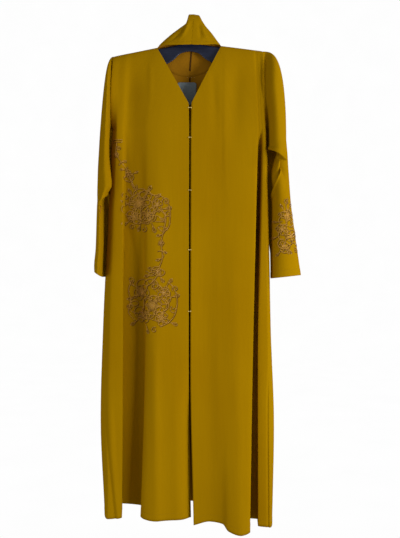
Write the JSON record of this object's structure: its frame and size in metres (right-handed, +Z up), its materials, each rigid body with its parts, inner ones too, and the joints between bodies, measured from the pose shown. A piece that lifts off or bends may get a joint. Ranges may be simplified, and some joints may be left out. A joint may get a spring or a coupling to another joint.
{
  "type": "abaya on hanger",
  "caption": "Long open-front hooded abaya of plain olive-gold crepe, hung on a moulded hanger, with the hood drawn over the hook, thread loops down the front and a neck label",
  "frame": {"origin": "inner top of the hanger's hook, where a rail or wall hook carries it", "axes": "+Z up, the front of the garment faces -Y, the wearer's right side lies at -X"},
  "size_m": [0.6284, 0.189, 1.5471],
  "materials": {
    "crepe": "smooth crepe-backed satin, olive-gold, soft sheen along the folds",
    "label_satin": "slate grey woven satin, plain",
    "loop_thread": "pale twisted thread loop",
    "hanger_plastic": "dark navy moulded plastic, smooth with a soft gloss",
    "hook_steel": "bright plated wire"
  },
  "bodies": {
    "root": {"front_right_panel": "crepe", "front_left_panel": "crepe", "back_panel": "crepe", "sleeve_right": "crepe", "sleeve_left": "crepe", "hood_right": "crepe", "hood_left": "crepe", "neck_label": "label_satin", "front_fastener_1": "loop_thread", "front_fastener_2": "loop_thread", "front_fastener_3": "loop_thread", "front_fastener_4": "loop_thread", "front_fastener_5": "loop_thread", "hanger_body": "hanger_plastic", "hanger_hook": "hook_steel"}
  },
  "joints": []
}
